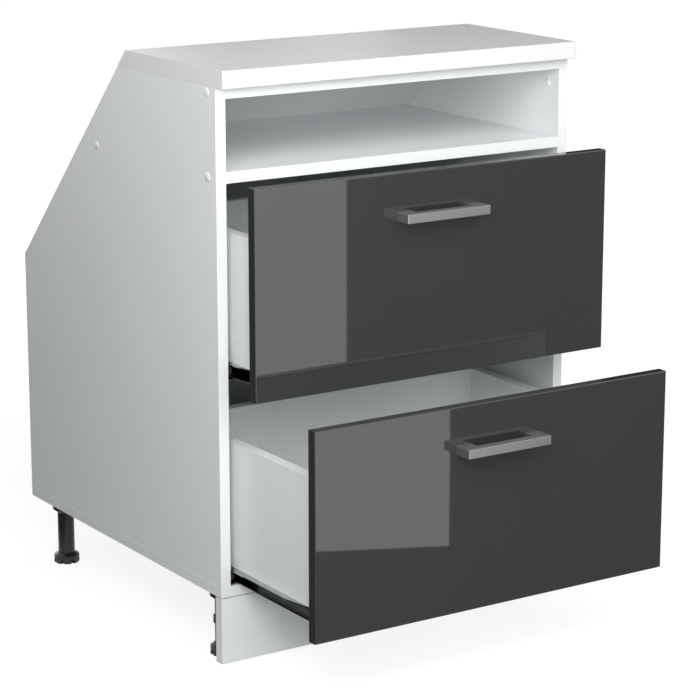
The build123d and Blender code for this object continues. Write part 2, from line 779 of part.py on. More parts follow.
    with BuildPart() as cam_bolts:
        for x, y, z in bolt_points["left"] + bolt_points["right"]:
            rod((x, y - cam_bolt_in_front, z), (0, 1, 0), cam_bolt_radius,
                cam_bolt_in_front + cam_setback - cam_bolt_head_radius)
            rod((x, y + cam_setback - cam_bolt_head_radius, z), (0, 1, 0), cam_bolt_head_radius,
                cam_bolt_head_radius)
    save(cam_bolts, f"{drawer}_cam_bolts")

    with BuildPart() as box_screws:
        for name in sides:
            for point in rear_points[name]:
                confirmat(point, (0, -1, 0))
            for seat in drawer_rail_seats[name]:
                pan_screw(seat, (0, 0, 1), sheet + pan_screw_bite - hole_clearance)
    save(box_screws, f"{drawer}_box_screws")
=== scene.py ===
import math
import bmesh
import bpy
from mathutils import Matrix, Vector


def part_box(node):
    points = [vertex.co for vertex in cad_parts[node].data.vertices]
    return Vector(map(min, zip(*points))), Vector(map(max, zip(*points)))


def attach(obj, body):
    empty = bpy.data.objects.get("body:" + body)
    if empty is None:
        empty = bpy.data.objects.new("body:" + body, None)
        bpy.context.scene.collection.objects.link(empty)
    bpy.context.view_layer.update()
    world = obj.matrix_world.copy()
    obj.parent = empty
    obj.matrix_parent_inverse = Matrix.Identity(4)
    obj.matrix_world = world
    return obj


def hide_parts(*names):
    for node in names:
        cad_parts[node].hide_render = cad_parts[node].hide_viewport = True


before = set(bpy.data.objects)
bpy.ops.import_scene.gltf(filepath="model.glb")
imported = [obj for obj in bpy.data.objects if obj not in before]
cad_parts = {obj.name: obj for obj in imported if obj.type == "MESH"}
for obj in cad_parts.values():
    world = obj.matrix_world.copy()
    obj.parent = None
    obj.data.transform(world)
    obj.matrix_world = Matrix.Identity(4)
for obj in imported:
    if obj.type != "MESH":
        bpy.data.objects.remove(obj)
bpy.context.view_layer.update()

# Base panel and two sides of the carcass.
# 16 mm chipboard faced with white melamine, cut to size, each cut edge closed with a
# glued plastic band. Dowels and confirmat screws hold the sides on the base panel.
mm = 0.001


def paint(code):
    """An sRGB hex colour, turned to the linear values that a shader reads."""
    parts = [int(code[i:i + 2], 16) / 255 for i in (0, 2, 4)]
    linear = [v / 12.92 if v <= 0.04045 else ((v + 0.055) / 1.055) ** 2.4 for v in parts]
    return linear + [1.0]


def add(tree, kind, settings=(), inputs=()):
    """Adds one node with its settings. A socket given for an input is linked to it."""
    new = tree.nodes.new(kind)
    for key, value in dict(settings).items():
        setattr(new, key, value)
    for key, value in dict(inputs).items():
        if isinstance(value, bpy.types.NodeSocket):
            tree.links.new(value, new.inputs[key])
        else:
            new.inputs[key].default_value = value
    return new


def fresh(name):
    """A new empty material, its node tree and the object's own coordinates."""
    material = bpy.data.materials.new(name)
    material.use_nodes = True
    tree = material.node_tree
    tree.nodes.clear()
    return material, tree, add(tree, "ShaderNodeTexCoord").outputs["Object"]


def close(tree, shader):
    """Sends a shader to the material's output."""
    add(tree, "ShaderNodeOutputMaterial", inputs={"Surface": shader.outputs[0]})


def dress(material, *names):
    """Gives a CAD node's slots this material."""
    for name in names:
        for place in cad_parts[name].material_slots:
            place.material = material


# The default whites lean a little green. That stands in part for the greenish tint of the shade
# inside the cabinet, a painted shade tint.
def melamine_faced_chipboard(name, bands=(), light="EDF0F0", dark="E9EDED"):
    """Melamine film pressed on chipboard between etched steel plates: a dead even white
    with a fine pearl that takes the shine off. The pearl is about 0.7 mm and is drawn
    2.2 mm across. bands lists (axis, face, way): a glue line lies just inside that face,
    and way, 1 or -1, points into the board."""
    cloud_size, pearl_size, pearl_depth = 140 * mm, 2.2 * mm, 0.05 * mm
    band_thickness, glue_half_width, glue = 0.9 * mm, 0.16 * mm, "C3C5C7"
    material, tree, place = fresh(name)
    cloud = add(tree, "ShaderNodeTexNoise", inputs={
        "Vector": place, "Scale": 1 / cloud_size, "Detail": 3.0, "Roughness": 0.5})
    tone = add(tree, "ShaderNodeMix", {"data_type": "RGBA"}, {
        0: cloud.outputs[0], 6: paint(light), 7: paint(dark)}).outputs[2]
    pearl = add(tree, "ShaderNodeTexNoise", inputs={
        "Vector": place, "Scale": 1 / pearl_size, "Detail": 2.0, "Roughness": 0.6})
    fleck = add(tree, "ShaderNodeMapRange", inputs={
        "Value": pearl.outputs[0], "From Min": 0.3, "From Max": 0.7, "To Min": 0.985,
        "To Max": 1.0})
    tone = add(tree, "ShaderNodeMix", {"data_type": "RGBA", "blend_type": "MULTIPLY"}, {
        0: 1.0, 6: tone, 7: fleck.outputs[0]}).outputs[2]
    if bands:
        split = add(tree, "ShaderNodeSeparateXYZ", inputs={0: place})
        seam = None
        for axis, face, way in bands:
            line = add(tree, "ShaderNodeMath", {"operation": "COMPARE"}, {
                0: split.outputs[axis], 1: face + way * band_thickness,
                2: glue_half_width}).outputs[0]
            seam = line if seam is None else add(
                tree, "ShaderNodeMath", {"operation": "MAXIMUM"}, {0: seam, 1: line}).outputs[0]
        tone = add(tree, "ShaderNodeMix", {"data_type": "RGBA"}, {
            0: seam, 6: tone, 7: paint(glue)}).outputs[2]
    bump = add(tree, "ShaderNodeBump", inputs={
        "Height": pearl.outputs[0], "Strength": 0.25, "Distance": pearl_depth})
    rough = add(tree, "ShaderNodeMapRange", inputs={
        "Value": pearl.outputs[0], "From Min": 0.3, "From Max": 0.7, "To Min": 0.40,
        "To Max": 0.50})
    close(tree, add(tree, "ShaderNodeBsdfPrincipled", inputs={
        "Base Color": tone, "Roughness": rough.outputs[0], "IOR": 1.5,
        "Normal": bump.outputs[0]}))
    return material


def banded(node, *edges):
    """A node's banded edges as (axis, face, way), each named by its axis and its end."""
    low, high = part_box(node)
    faces = []
    for edge in edges:
        axis = "xyz".index(edge[0])
        faces.append((axis, low[axis], 1) if edge[1] == "-" else (axis, high[axis], -1))
    return faces


dress(melamine_faced_chipboard("white_melamine_base", banded("base_panel", "y-", "x-", "x+")),
      "base_panel")
# The sides take a slightly bluer white than the other boards of this melamine. On the other
# boards the greener white is in part painted shade tint for the niche and drawers.
side_edges = banded("left_side_panel", "y-")
dress(melamine_faced_chipboard("white_melamine_sides", side_edges, "EEF0F1", "EAECED"),
      "left_side_panel", "right_side_panel")

# Niche shelf, top panel and knee rail.
# The same 16 mm board, banded in front. The knee rail stiffens the carcass across its
# back at the bend of the roof line.
dress(melamine_faced_chipboard("white_melamine_shelf", banded("niche_shelf", "y-")),
      "niche_shelf")
dress(melamine_faced_chipboard("white_melamine_top", banded("top_panel", "y-")), "top_panel")
dress(melamine_faced_chipboard("white_melamine_rail", banded("knee_rail", "z-", "z+")),
      "knee_rail")


# Beech dowels, glued half in each board.
# Turned from pale dry wood. Most of them lie across the cabinet, and the grain runs so.
def turned_beech():
    """Beech has short darker rays and a fine straight grain, which keeps it from looking
    like plain tan paint."""
    grain_width, grain_draw = 0.8 * mm, 0.15
    material, tree, place = fresh("turned_beech")
    along = add(tree, "ShaderNodeMapping", inputs={
        "Vector": place, "Scale": (grain_draw, 1.0, 1.0)})
    grain = add(tree, "ShaderNodeTexNoise", inputs={
        "Vector": along.outputs[0], "Scale": 1 / grain_width, "Detail": 4.0, "Roughness": 0.6})
    tone = add(tree, "ShaderNodeMix", {"data_type": "RGBA"}, {
        0: grain.outputs[0], 6: paint("DDB98A"), 7: paint("C39764")})
    bump = add(tree, "ShaderNodeBump", inputs={
        "Height": grain.outputs[0], "Strength": 0.4, "Distance": 0.1 * mm})
    close(tree, add(tree, "ShaderNodeBsdfPrincipled", inputs={
        "Base Color": tone.outputs[2], "Roughness": 0.65, "Normal": bump.outputs[0]}))
    return material


dress(turned_beech(), "carcass_dowels")


# Screws of the carcass, the worktop, the legs and the runners.
# Cold headed steel wire, electroplated with zinc, clear chromate over it.
def bright_zinc_plating():
    """Clear chromate leaves faint cloudy patches, some of them a little yellow, on a cool
    metal. They are drawn 3 mm across."""
    patch_size = 3.0 * mm
    material, tree, place = fresh("bright_zinc_plating")
    cloud = add(tree, "ShaderNodeTexNoise", inputs={
        "Vector": place, "Scale": 1 / patch_size, "Detail": 4.0, "Roughness": 0.6})
    tone = add(tree, "ShaderNodeMix", {"data_type": "RGBA"}, {
        0: cloud.outputs[0], 6: paint("C9CCCB"), 7: paint("B9B8AE")})
    worn = add(tree, "ShaderNodeMapRange", inputs={
        "Value": cloud.outputs[0], "From Min": 0.3, "From Max": 0.7, "To Min": 0.22,
        "To Max": 0.38})
    bump = add(tree, "ShaderNodeBump", inputs={
        "Height": cloud.outputs[0], "Strength": 0.12, "Distance": 0.05 * mm})
    close(tree, add(tree, "ShaderNodeBsdfPrincipled", inputs={
        "Base Color": tone.outputs[2], "Metallic": 1.0, "Roughness": worn.outputs[0],
        "Normal": bump.outputs[0]}))
    return material


zinc = bright_zinc_plating()


def bodies_apart(node):
    """The corner points of each separate solid in a CAD node."""
    shape = bmesh.new()
    shape.from_mesh(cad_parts[node].data)
    bmesh.ops.remove_doubles(shape, verts=shape.verts, dist=0.001 * mm)
    seen = set()
    groups = []
    for start in shape.verts:
        if start in seen:
            continue
        seen.add(start)
        reached = [start]
        group = []
        while reached:
            corner = reached.pop()
            group.append(corner.co.copy())
            for edge in corner.link_edges:
                other = edge.other_vert(corner)
                if other not in seen:
                    seen.add(other)
                    reached.append(other)
        groups.append(group)
    shape.free()
    return groups


def new_piece(name, shape, material=None):
    """A piece of the cabinet from a bmesh, with its material."""
    mesh = bpy.data.meshes.new(name)
    shape.to_mesh(mesh)
    shape.free()
    if material:
        mesh.materials.append(material)
    piece = bpy.data.objects.new(name, mesh)
    bpy.context.scene.collection.objects.link(piece)
    return piece


def turned(rings, sides=16):
    """A shape spun about Z from (radius, height) rings, both ends left open."""
    shape = bmesh.new()
    loops = []
    for radius, height in rings:
        loops.append([shape.verts.new((radius * math.cos(math.tau * k / sides),
                                       radius * math.sin(math.tau * k / sides), height))
                      for k in range(sides)])
    for inner, outer in zip(loops, loops[1:]):
        for k in range(sides):
            after = (k + 1) % sides
            shape.faces.new((inner[k], inner[after], outer[after], outer[k]))
    return shape, loops


def closed_with_recess(shape, rim, outline, depth, draft):
    """Closes a head's rim with a flat face around a sunk recess of that outline, whose
    floor is draft times as wide as its mouth."""
    height = rim[0].co.z
    mouth = [shape.verts.new((x, y, height)) for x, y in outline]
    floor = [shape.verts.new((x * draft, y * draft, height - depth)) for x, y in outline]
    edges = []
    for ring in (rim, mouth):
        for k in range(len(ring)):
            pair = (ring[k], ring[(k + 1) % len(ring)])
            edges.append(shape.edges.get(pair) or shape.edges.new(pair))
    bmesh.ops.triangle_fill(shape, edges=edges, use_beauty=True)
    for k in range(len(outline)):
        after = (k + 1) % len(outline)
        shape.faces.new((mouth[k], mouth[after], floor[after], floor[k]))
    shape.faces.new(floor)


def screw_shape(name, length, head, core, countersunk):
    """A screw along -Z with its head's top at the origin: cross recessed pan head, or
    flat countersunk head with a hexagon socket. head and core are radii. The thread is a
    stack of ridges whose crests reach the core radius."""
    root, tip, pitch = core * 0.74, core * 0.08, core * 0.9
    neck = -head * (0.9 if countersunk else 0.72)
    thread = []
    height = -length + pitch
    while height < neck - pitch:
        thread += [(root, height), (core, height + pitch * 0.5)]
        height += pitch
    rings = [(tip, -length), *thread, (root, neck)]
    if countersunk:
        rim = 0.25 * mm
        rings += [(core * 0.9, neck * 0.98), (head, -rim), (head, 0.0)]
    else:
        rings += [(head, neck), (head, neck * 0.62), (head * 0.86, neck * 0.2),
                  (head * 0.6, 0.0)]
    shape, loops = turned(rings)
    shape.faces.new(list(reversed(loops[0])))
    if countersunk:
        socket = head * 0.46
        outline = []
        for k in range(6):
            angle = math.tau * k / 6
            outline.append((socket * math.cos(angle), socket * math.sin(angle)))
        closed_with_recess(shape, loops[-1], outline, head * 0.5, 0.92)
    else:
        arm, half = head * 0.5, head * 0.1
        quarter = [(arm, -half), (arm, half), (half, half)]
        outline = []
        for turn in range(4):
            spin = math.pi / 2 * turn
            outline += [(x * math.cos(spin) - y * math.sin(spin),
                         x * math.sin(spin) + y * math.cos(spin)) for x, y in quarter]
        closed_with_recess(shape, loops[-1], outline, head * 0.42, 0.45)
    bmesh.ops.recalc_face_normals(shape, faces=shape.faces)
    return new_piece(name, shape)


def setting_out_tree():
    """Geometry nodes: one pattern on each point, its Z axis along the point's way, spun
    about it by a random turn of up to Spin."""
    tree = bpy.data.node_groups.new("setting_out", "GeometryNodeTree")
    face = tree.interface
    for label, kind in (("Points", "NodeSocketGeometry"), ("Pattern", "NodeSocketObject"),
                        ("Spin", "NodeSocketFloat"), ("Seed", "NodeSocketInt"),
                        ("Material", "NodeSocketMaterial")):
        face.new_socket(label, in_out="INPUT", socket_type=kind)
    face.new_socket("Pieces", in_out="OUTPUT", socket_type="NodeSocketGeometry")
    given = add(tree, "NodeGroupInput")
    pattern = add(tree, "GeometryNodeObjectInfo", inputs={"Object": given.outputs["Pattern"]})
    way = add(tree, "GeometryNodeInputNamedAttribute", {"data_type": "FLOAT_VECTOR"}, {
        "Name": "way"})
    turn = add(tree, "FunctionNodeRandomValue", {"data_type": "FLOAT"}, {
        "Seed": given.outputs["Seed"]})
    turn.inputs[2].default_value = 0.0
    tree.links.new(given.outputs["Spin"], turn.inputs[3])
    spin = add(tree, "FunctionNodeAxisAngleToRotation", inputs={"Angle": turn.outputs[1]})
    aimed = add(tree, "FunctionNodeAlignRotationToVector", {"axis": "Z"}, {
        "Rotation": spin.outputs[0], "Vector": way.outputs[0]})
    placed = add(tree, "GeometryNodeInstanceOnPoints", inputs={
        "Points": given.outputs["Points"], "Instance": pattern.outputs["Geometry"],
        "Rotation": aimed.outputs[0]})
    real = add(tree, "GeometryNodeRealizeInstances", inputs={0: placed.outputs[0]})
    painted = add(tree, "GeometryNodeSetMaterial", inputs={
        "Geometry": real.outputs[0], "Material": given.outputs["Material"]})
    add(tree, "NodeGroupOutput", inputs={0: painted.outputs[0]})
    return tree


setting_out = setting_out_tree()


def made_plain(name, carrier, tree, values):
    """Runs a tree on a carrier with those named inputs, and keeps the plain mesh."""
    made = carrier.modifiers.new(name, "NODES")
    made.node_group = tree
    for item in tree.interface.items_tree:
        if item.in_out == "INPUT" and item.name in values:
            made[item.identifier] = values[item.name]
    bpy.context.view_layer.update()
    result = carrier.evaluated_get(bpy.context.evaluated_depsgraph_get())
    mesh = bpy.data.meshes.new_from_object(result)
    piece = bpy.data.objects.new(name, mesh)
    bpy.context.scene.collection.objects.link(piece)
    carrier.modifiers.clear()
    bpy.data.objects.remove(carrier)
    return piece


def set_out(name, places, pattern, material, spin=0.0, seed=1):
    """Sets a pattern out at (point, way) places and removes the pattern."""
    mesh = bpy.data.meshes.new(name + "_points")
    mesh.from_pydata([tuple(point) for point, way in places], [], [])
    ways = mesh.attributes.new("way", "FLOAT_VECTOR", "POINT")
    for number, (point, way) in enumerate(places):
        ways.data[number].vector = way
    carrier = bpy.data.objects.new(name + "_points", mesh)
    bpy.context.scene.collection.objects.link(carrier)
    piece = made_plain(name, carrier, setting_out, {
        "Pattern": pattern, "Spin": spin, "Seed": seed, "Material": material})
    bpy.data.objects.remove(pattern)
    return piece


def box_of(corners):
    """The low and the high corner of a box around some points."""
    return ([min(c[k] for c in corners) for k in range(3)],
            [max(c[k] for c in corners) for k in range(3)])


def cut_screws(node, body, countersunk):
    """Replaces a node's plain screws by detailed ones of the same sizes, in the same
    places. Each plain one tells by its widest end where its head is, and screws of one
    length, head and core make one piece."""
    tip_zone = 2 * mm
    alike = {}
    for corners in bodies_apart(node):
        low, high = box_of(corners)
        spans = [b - a for a, b in zip(low, high)]
        axis = spans.index(max(spans))
        centre = [(a + b) / 2 for a, b in zip(low, high)]
        across = [k for k in range(3) if k != axis]
        reach = [math.hypot(*(c[k] - centre[k] for k in across)) for c in corners]
        head = max(reach)
        widest = [c[axis] for c, r in zip(corners, reach) if r > head * 0.98]
        head_low = sum(widest) / len(widest) < centre[axis]
        top, tip = (low, high) if head_low else (high, low)
        core = max(r for c, r in zip(corners, reach) if abs(c[axis] - tip[axis]) < tip_zone)
        centre[axis] = top[axis]
        way = [0.0, 0.0, 0.0]
        way[axis] = -1.0 if head_low else 1.0
        key = tuple(round(size / mm, 1) for size in (spans[axis], head, core))
        alike.setdefault(key, []).append((centre, way))
    for number, (key, places) in enumerate(sorted(alike.items())):
        length, head, core = (value * mm for value in key)
        pattern = screw_shape("screw_pattern", length, head, core, countersunk)
        piece = set_out(f"{node}_{number + 1}", places, pattern, zinc, math.tau, number + 5)
        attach(piece, body)
        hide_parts(node)


cut_screws("carcass_screws", "carcass", True)
cut_screws("worktop_screws", "carcass", False)
cut_screws("fixing_screws", "carcass", False)


# Cover caps over the confirmat screws and in the niche.
# Polyethylene discs with a stem, pushed in by hand, a little whiter than the board.
def moulded_plastic(name, light, dark, rough, grain, depth):
    """Injection moulded plastic. The spark eroded mould leaves an even fine grain, which
    breaks up the highlight; the colour is in the plastic and hardly varies. The grain, in
    mm, is drawn about five times too wide, so that it shows."""
    flow_size, plastic_ior = 18 * mm, 1.49
    material, tree, place = fresh(name)
    grains = add(tree, "ShaderNodeTexNoise", inputs={
        "Vector": place, "Scale": 1 / (grain * mm), "Detail": 3.0, "Roughness": 0.65})
    flow = add(tree, "ShaderNodeTexNoise", inputs={
        "Vector": place, "Scale": 1 / flow_size, "Detail": 2.0, "Roughness": 0.5})
    tone = add(tree, "ShaderNodeMix", {"data_type": "RGBA"}, {
        0: flow.outputs[0], 6: paint(light), 7: paint(dark)})
    shine = add(tree, "ShaderNodeMapRange", inputs={
        "Value": grains.outputs[0], "From Min": 0.3, "From Max": 0.7, "To Min": rough - 0.05,
        "To Max": rough + 0.06})
    bump = add(tree, "ShaderNodeBump", inputs={
        "Height": grains.outputs[0], "Strength": 0.35, "Distance": depth * mm})
    close(tree, add(tree, "ShaderNodeBsdfPrincipled", inputs={
        "Base Color": tone.outputs[2], "Roughness": shine.outputs[0], "IOR": plastic_ior,
        "Normal": bump.outputs[0]}))
    return material


cap_white = moulded_plastic("white_moulded_caps", "FBFBFB", "F8F8F8", 0.34, 1.2, 0.02)


def cap_shape(radius, height):
    """A cover cap: a straight little skirt under a low dome. The broad outer ring, shaded
    smooth with the skirt, rounds the rim as on the thicker real cap."""
    profile = ((1.0, 0.0), (1.0, 0.45), (0.55, 0.95), (0.12, 1.0))
    rings = [(radius * width, height * level) for width, level in profile]
    shape, loops = turned(rings, 32)
    shape.faces.new(loops[-1])
    shape.faces.new(list(reversed(loops[0])))
    bmesh.ops.recalc_face_normals(shape, faces=shape.faces)
    for face in shape.faces:
        face.smooth = len(face.verts) == 4
    return new_piece("cap_pattern", shape)


cap_places = []
outer_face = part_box("right_side_panel")[1].x
for corners in bodies_apart("screw_caps"):
    low, high = box_of(corners)
    middle = [(a + b) / 2 for a, b in zip(low, high)]
    outside = abs(middle[0]) > outer_face - 1 * mm
    way = math.copysign(1.0, middle[0]) * (1 if outside else -1)
    middle[0] = low[0] if way > 0 else high[0]
    cap_places.append((middle, (way, 0.0, 0.0)))
    cap_height, cap_radius = high[0] - low[0], (high[2] - low[2]) / 2
caps = set_out("screw_caps", cap_places, cap_shape(cap_radius, cap_height), cap_white)
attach(caps, "carcass")
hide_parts("screw_caps")


# Worktop.
# 25 mm chipboard under pale high pressure laminate with a fine satin texture. The front
# and the ends carry a whiter plastic band; the rear is cut to the roof slope.
def pale_laminate():
    """Laminate is harder and a little smoother than melamine film, and this one leans to
    lilac beside its white bands. Its grey is partly its own colour and partly painted
    shade for the lesser light on the top. The bands' white is held down as painted shade,
    so that the brightly lit front edge stays below full white. Its texture is drawn 3 mm
    across so that it just shows."""
    cloud_size, satin_size = 160 * mm, 3.0 * mm
    band_thickness, glue_half_width = 1.6 * mm, 0.18 * mm
    band_white, glue = "E5E5E5", "C4C4C8"
    material, tree, place = fresh("pale_satin_laminate")
    cloud = add(tree, "ShaderNodeTexNoise", inputs={
        "Vector": place, "Scale": 1 / cloud_size, "Detail": 3.0, "Roughness": 0.5})
    tone = add(tree, "ShaderNodeMix", {"data_type": "RGBA"}, {
        0: cloud.outputs[0], 6: paint("E1E1E4"), 7: paint("DCDCDF")}).outputs[2]
    satin = add(tree, "ShaderNodeTexNoise", inputs={
        "Vector": place, "Scale": 1 / satin_size, "Detail": 3.0, "Roughness": 0.6})
    split = add(tree, "ShaderNodeSeparateXYZ", inputs={0: place})
    for centre, half_width, colour in ((0.0, band_thickness, band_white),
                                       (band_thickness, glue_half_width, glue)):
        zone = None
        for axis, face, way in banded("worktop", "y-", "x-", "x+"):
            line = add(tree, "ShaderNodeMath", {"operation": "COMPARE"}, {
                0: split.outputs[axis], 1: face + way * centre, 2: half_width}).outputs[0]
            zone = line if zone is None else add(
                tree, "ShaderNodeMath", {"operation": "MAXIMUM"}, {0: zone, 1: line}).outputs[0]
        tone = add(tree, "ShaderNodeMix", {"data_type": "RGBA"}, {
            0: zone, 6: tone, 7: paint(colour)}).outputs[2]
    bump = add(tree, "ShaderNodeBump", inputs={
        "Height": satin.outputs[0], "Strength": 0.22, "Distance": 0.05 * mm})
    shine = add(tree, "ShaderNodeMapRange", inputs={
        "Value": satin.outputs[0], "From Min": 0.3, "From Max": 0.7, "To Min": 0.34,
        "To Max": 0.44})
    close(tree, add(tree, "ShaderNodeBsdfPrincipled", inputs={
        "Base Color": tone, "Roughness": shine.outputs[0], "IOR": 1.5,
        "Normal": bump.outputs[0]}))
    return material


dress(pale_laminate(), "worktop")


# Back panels.
# 3 mm hardboard, white lacquered. One stands upright up to the bend and the other lies
# along the roof slope, both nailed on the rear edges.
def lacquered_hardboard():
    """Roller lacquer on pressed fibre: near white, very slightly stippled, and the felted
    fibres of the board still show as a fine fleck."""
    fibre_length = 2.6 * mm
    material, tree, place = fresh("lacquered_hardboard")
    fibre = add(tree, "ShaderNodeTexNoise", inputs={
        "Vector": place, "Scale": 1 / fibre_length, "Detail": 5.0, "Roughness": 0.7})
    tone = add(tree, "ShaderNodeMix", {"data_type": "RGBA"}, {
        0: fibre.outputs[0], 6: paint("E9EDED"), 7: paint("E0E4E4")})
    bump = add(tree, "ShaderNodeBump", inputs={
        "Height": fibre.outputs[0], "Strength": 0.3, "Distance": 0.06 * mm})
    close(tree, add(tree, "ShaderNodeBsdfPrincipled", inputs={
        "Base Color": tone.outputs[2], "Roughness": 0.5, "Normal": bump.outputs[0]}))
    return material


hardboard = lacquered_hardboard()
dress(hardboard, "sloped_back_panel")


def thin_sheet(name, low, high, round_off, material):
    """A flat sheet between two corners, its edges rounded."""
    shape = bmesh.new()
    bmesh.ops.create_cube(shape, size=1.0)
    for corner in shape.verts:
        corner.co = Vector([(a + b) / 2 + c * (b - a) for a, b, c in zip(low, high, corner.co)])
    bmesh.ops.bevel(shape, geom=list(shape.edges), offset=round_off, segments=2, profile=0.5,
                    affect="EDGES")
    return new_piece(name, shape, material)


nail_proud = 0.1 * mm
back_low, back_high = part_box("vertical_back_panel")
upright_back = thin_sheet("upright_back_panel", back_low,
                          (back_high.x, back_high.y - nail_proud, back_high.z), 0.25 * mm,
                          hardboard)
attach(upright_back, "carcass")
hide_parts("vertical_back_panel")


# Nails round the two backs.
# Flat headed wire nails, 5 mm across the head and about 120 mm apart, driven flush 7 to
# 14 mm in from the edges.
def nail_row_tree():
    """Geometry nodes: a pattern at even steps along a line, near Spacing apart and with
    one at each end, its Z axis along Way."""
    tree = bpy.data.node_groups.new("nail_row", "GeometryNodeTree")
    face = tree.interface
    for label, kind in (("Line", "NodeSocketGeometry"), ("Pattern", "NodeSocketObject"),
                        ("Spacing", "NodeSocketFloat"), ("Way", "NodeSocketVector"),
                        ("Material", "NodeSocketMaterial")):
        face.new_socket(label, in_out="INPUT", socket_type=kind)
    face.new_socket("Pieces", in_out="OUTPUT", socket_type="NodeSocketGeometry")
    given = add(tree, "NodeGroupInput")
    pattern = add(tree, "GeometryNodeObjectInfo", inputs={"Object": given.outputs["Pattern"]})
    path = add(tree, "GeometryNodeMeshToCurve", inputs={"Mesh": given.outputs["Line"]})
    length = add(tree, "GeometryNodeSplineLength")
    gaps = add(tree, "ShaderNodeMath", {"operation": "DIVIDE"}, {
        0: length.outputs["Length"], 1: given.outputs["Spacing"]})
    even = add(tree, "ShaderNodeMath", {"operation": "ROUND"}, {0: gaps.outputs[0]})
    count = add(tree, "ShaderNodeMath", {"operation": "ADD"}, {0: even.outputs[0], 1: 1.0})
    marks = add(tree, "GeometryNodeResampleCurve", inputs={
        "Curve": path.outputs[0], "Count": count.outputs[0]})
    aimed = add(tree, "FunctionNodeAlignRotationToVector", {"axis": "Z"}, {
        "Vector": given.outputs["Way"]})
    placed = add(tree, "GeometryNodeInstanceOnPoints", inputs={
        "Points": marks.outputs[0], "Instance": pattern.outputs["Geometry"],
        "Rotation": aimed.outputs[0]})
    real = add(tree, "GeometryNodeRealizeInstances", inputs={0: placed.outputs[0]})
    painted = add(tree, "GeometryNodeSetMaterial", inputs={
        "Geometry": real.outputs[0], "Material": given.outputs["Material"]})
    add(tree, "NodeGroupOutput", inputs={0: painted.outputs[0]})
    return tree


nail_row = nail_row_tree()


def nails(name, corners, way):
    """A row of nails through corner points, their heads along way. The sizes of head, wire
    and point are radii."""
    spacing, length, taper = 120 * mm, 16 * mm, 1.5 * mm
    head, wire, point = 2.5 * mm, 0.7 * mm, 0.1 * mm
    neck, underside, shoulder = 0.6 * mm, 0.35 * mm, 0.12 * mm
    mesh = bpy.data.meshes.new(name + "_line")
    mesh.from_pydata(corners, [(k, k + 1) for k in range(len(corners) - 1)], [])
    carrier = bpy.data.objects.new(name + "_line", mesh)
    bpy.context.scene.collection.objects.link(carrier)
    shape, loops = turned([(point, -length), (wire, -length + taper), (wire, -neck),
                           (head, -underside), (head, -shoulder), (head * 0.86, 0.0)], 14)
    shape.faces.new(loops[-1])
    shape.faces.new(list(reversed(loops[0])))
    bmesh.ops.recalc_face_normals(shape, faces=shape.faces)
    pattern = new_piece("nail_pattern", shape)
    piece = made_plain(name, carrier, nail_row, {
        "Pattern": pattern, "Spacing": spacing, "Way": way, "Material": zinc})
    bpy.data.objects.remove(pattern)
    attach(piece, "carcass")


side_inset, foot_inset, bend_inset = 8 * mm, 7 * mm, 14 * mm
nail_left, nail_right = back_low.x + side_inset, back_high.x - side_inset
nail_foot, nail_top = back_low.z + foot_inset, back_high.z - bend_inset
rear = back_high.y
nails("upright_back_nails", [(nail_left, rear, nail_top), (nail_left, rear, nail_foot),
                             (nail_right, rear, nail_foot), (nail_right, rear, nail_top)],
      (0.0, 1.0, 0.0))
slope_low, slope_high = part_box("sloped_back_panel")
bend = Vector((0.0, back_high.y, back_high.z))
slope = Vector((0.0, slope_low.y, slope_high.z)) - bend
slope_way = Vector((0.0, slope.z, -slope.y)).normalized()
first, last = (bend + slope * share + slope_way * nail_proud for share in (0.04, 0.94))
nails("sloped_back_nails", [(nail_left, first.y, first.z), (nail_left, last.y, last.z),
                            (nail_right, last.y, last.z), (nail_right, first.y, first.z)],
      tuple(slope_way))

# Legs and levelling feet.
# Black moulded polypropylene: a round stem under a screwed on flange, and a foot that
# screws out of it to level the cabinet.
black_plastic = moulded_plastic("black_moulded_polypropylene", "141415", "101011", 0.40,
                                1.4, 0.06)
for end in ("front", "rear"):
    for side in ("left", "right"):
        dress(black_plastic, f"{end}_{side}_leg", f"{end}_{side}_foot")

# Plinth and its clips.
# A 16 mm board with banded edges stands in front of the legs, held by snap clips.
dress(melamine_faced_chipboard("white_melamine_plinth",
                               banded("plinth_panel", "z-", "z+", "x-", "x+")), "plinth_panel")
dress(moulded_plastic("black_moulded_clips", "1E1E1F", "19191A", 0.42, 1.3, 0.05),
      "plinth_clips")


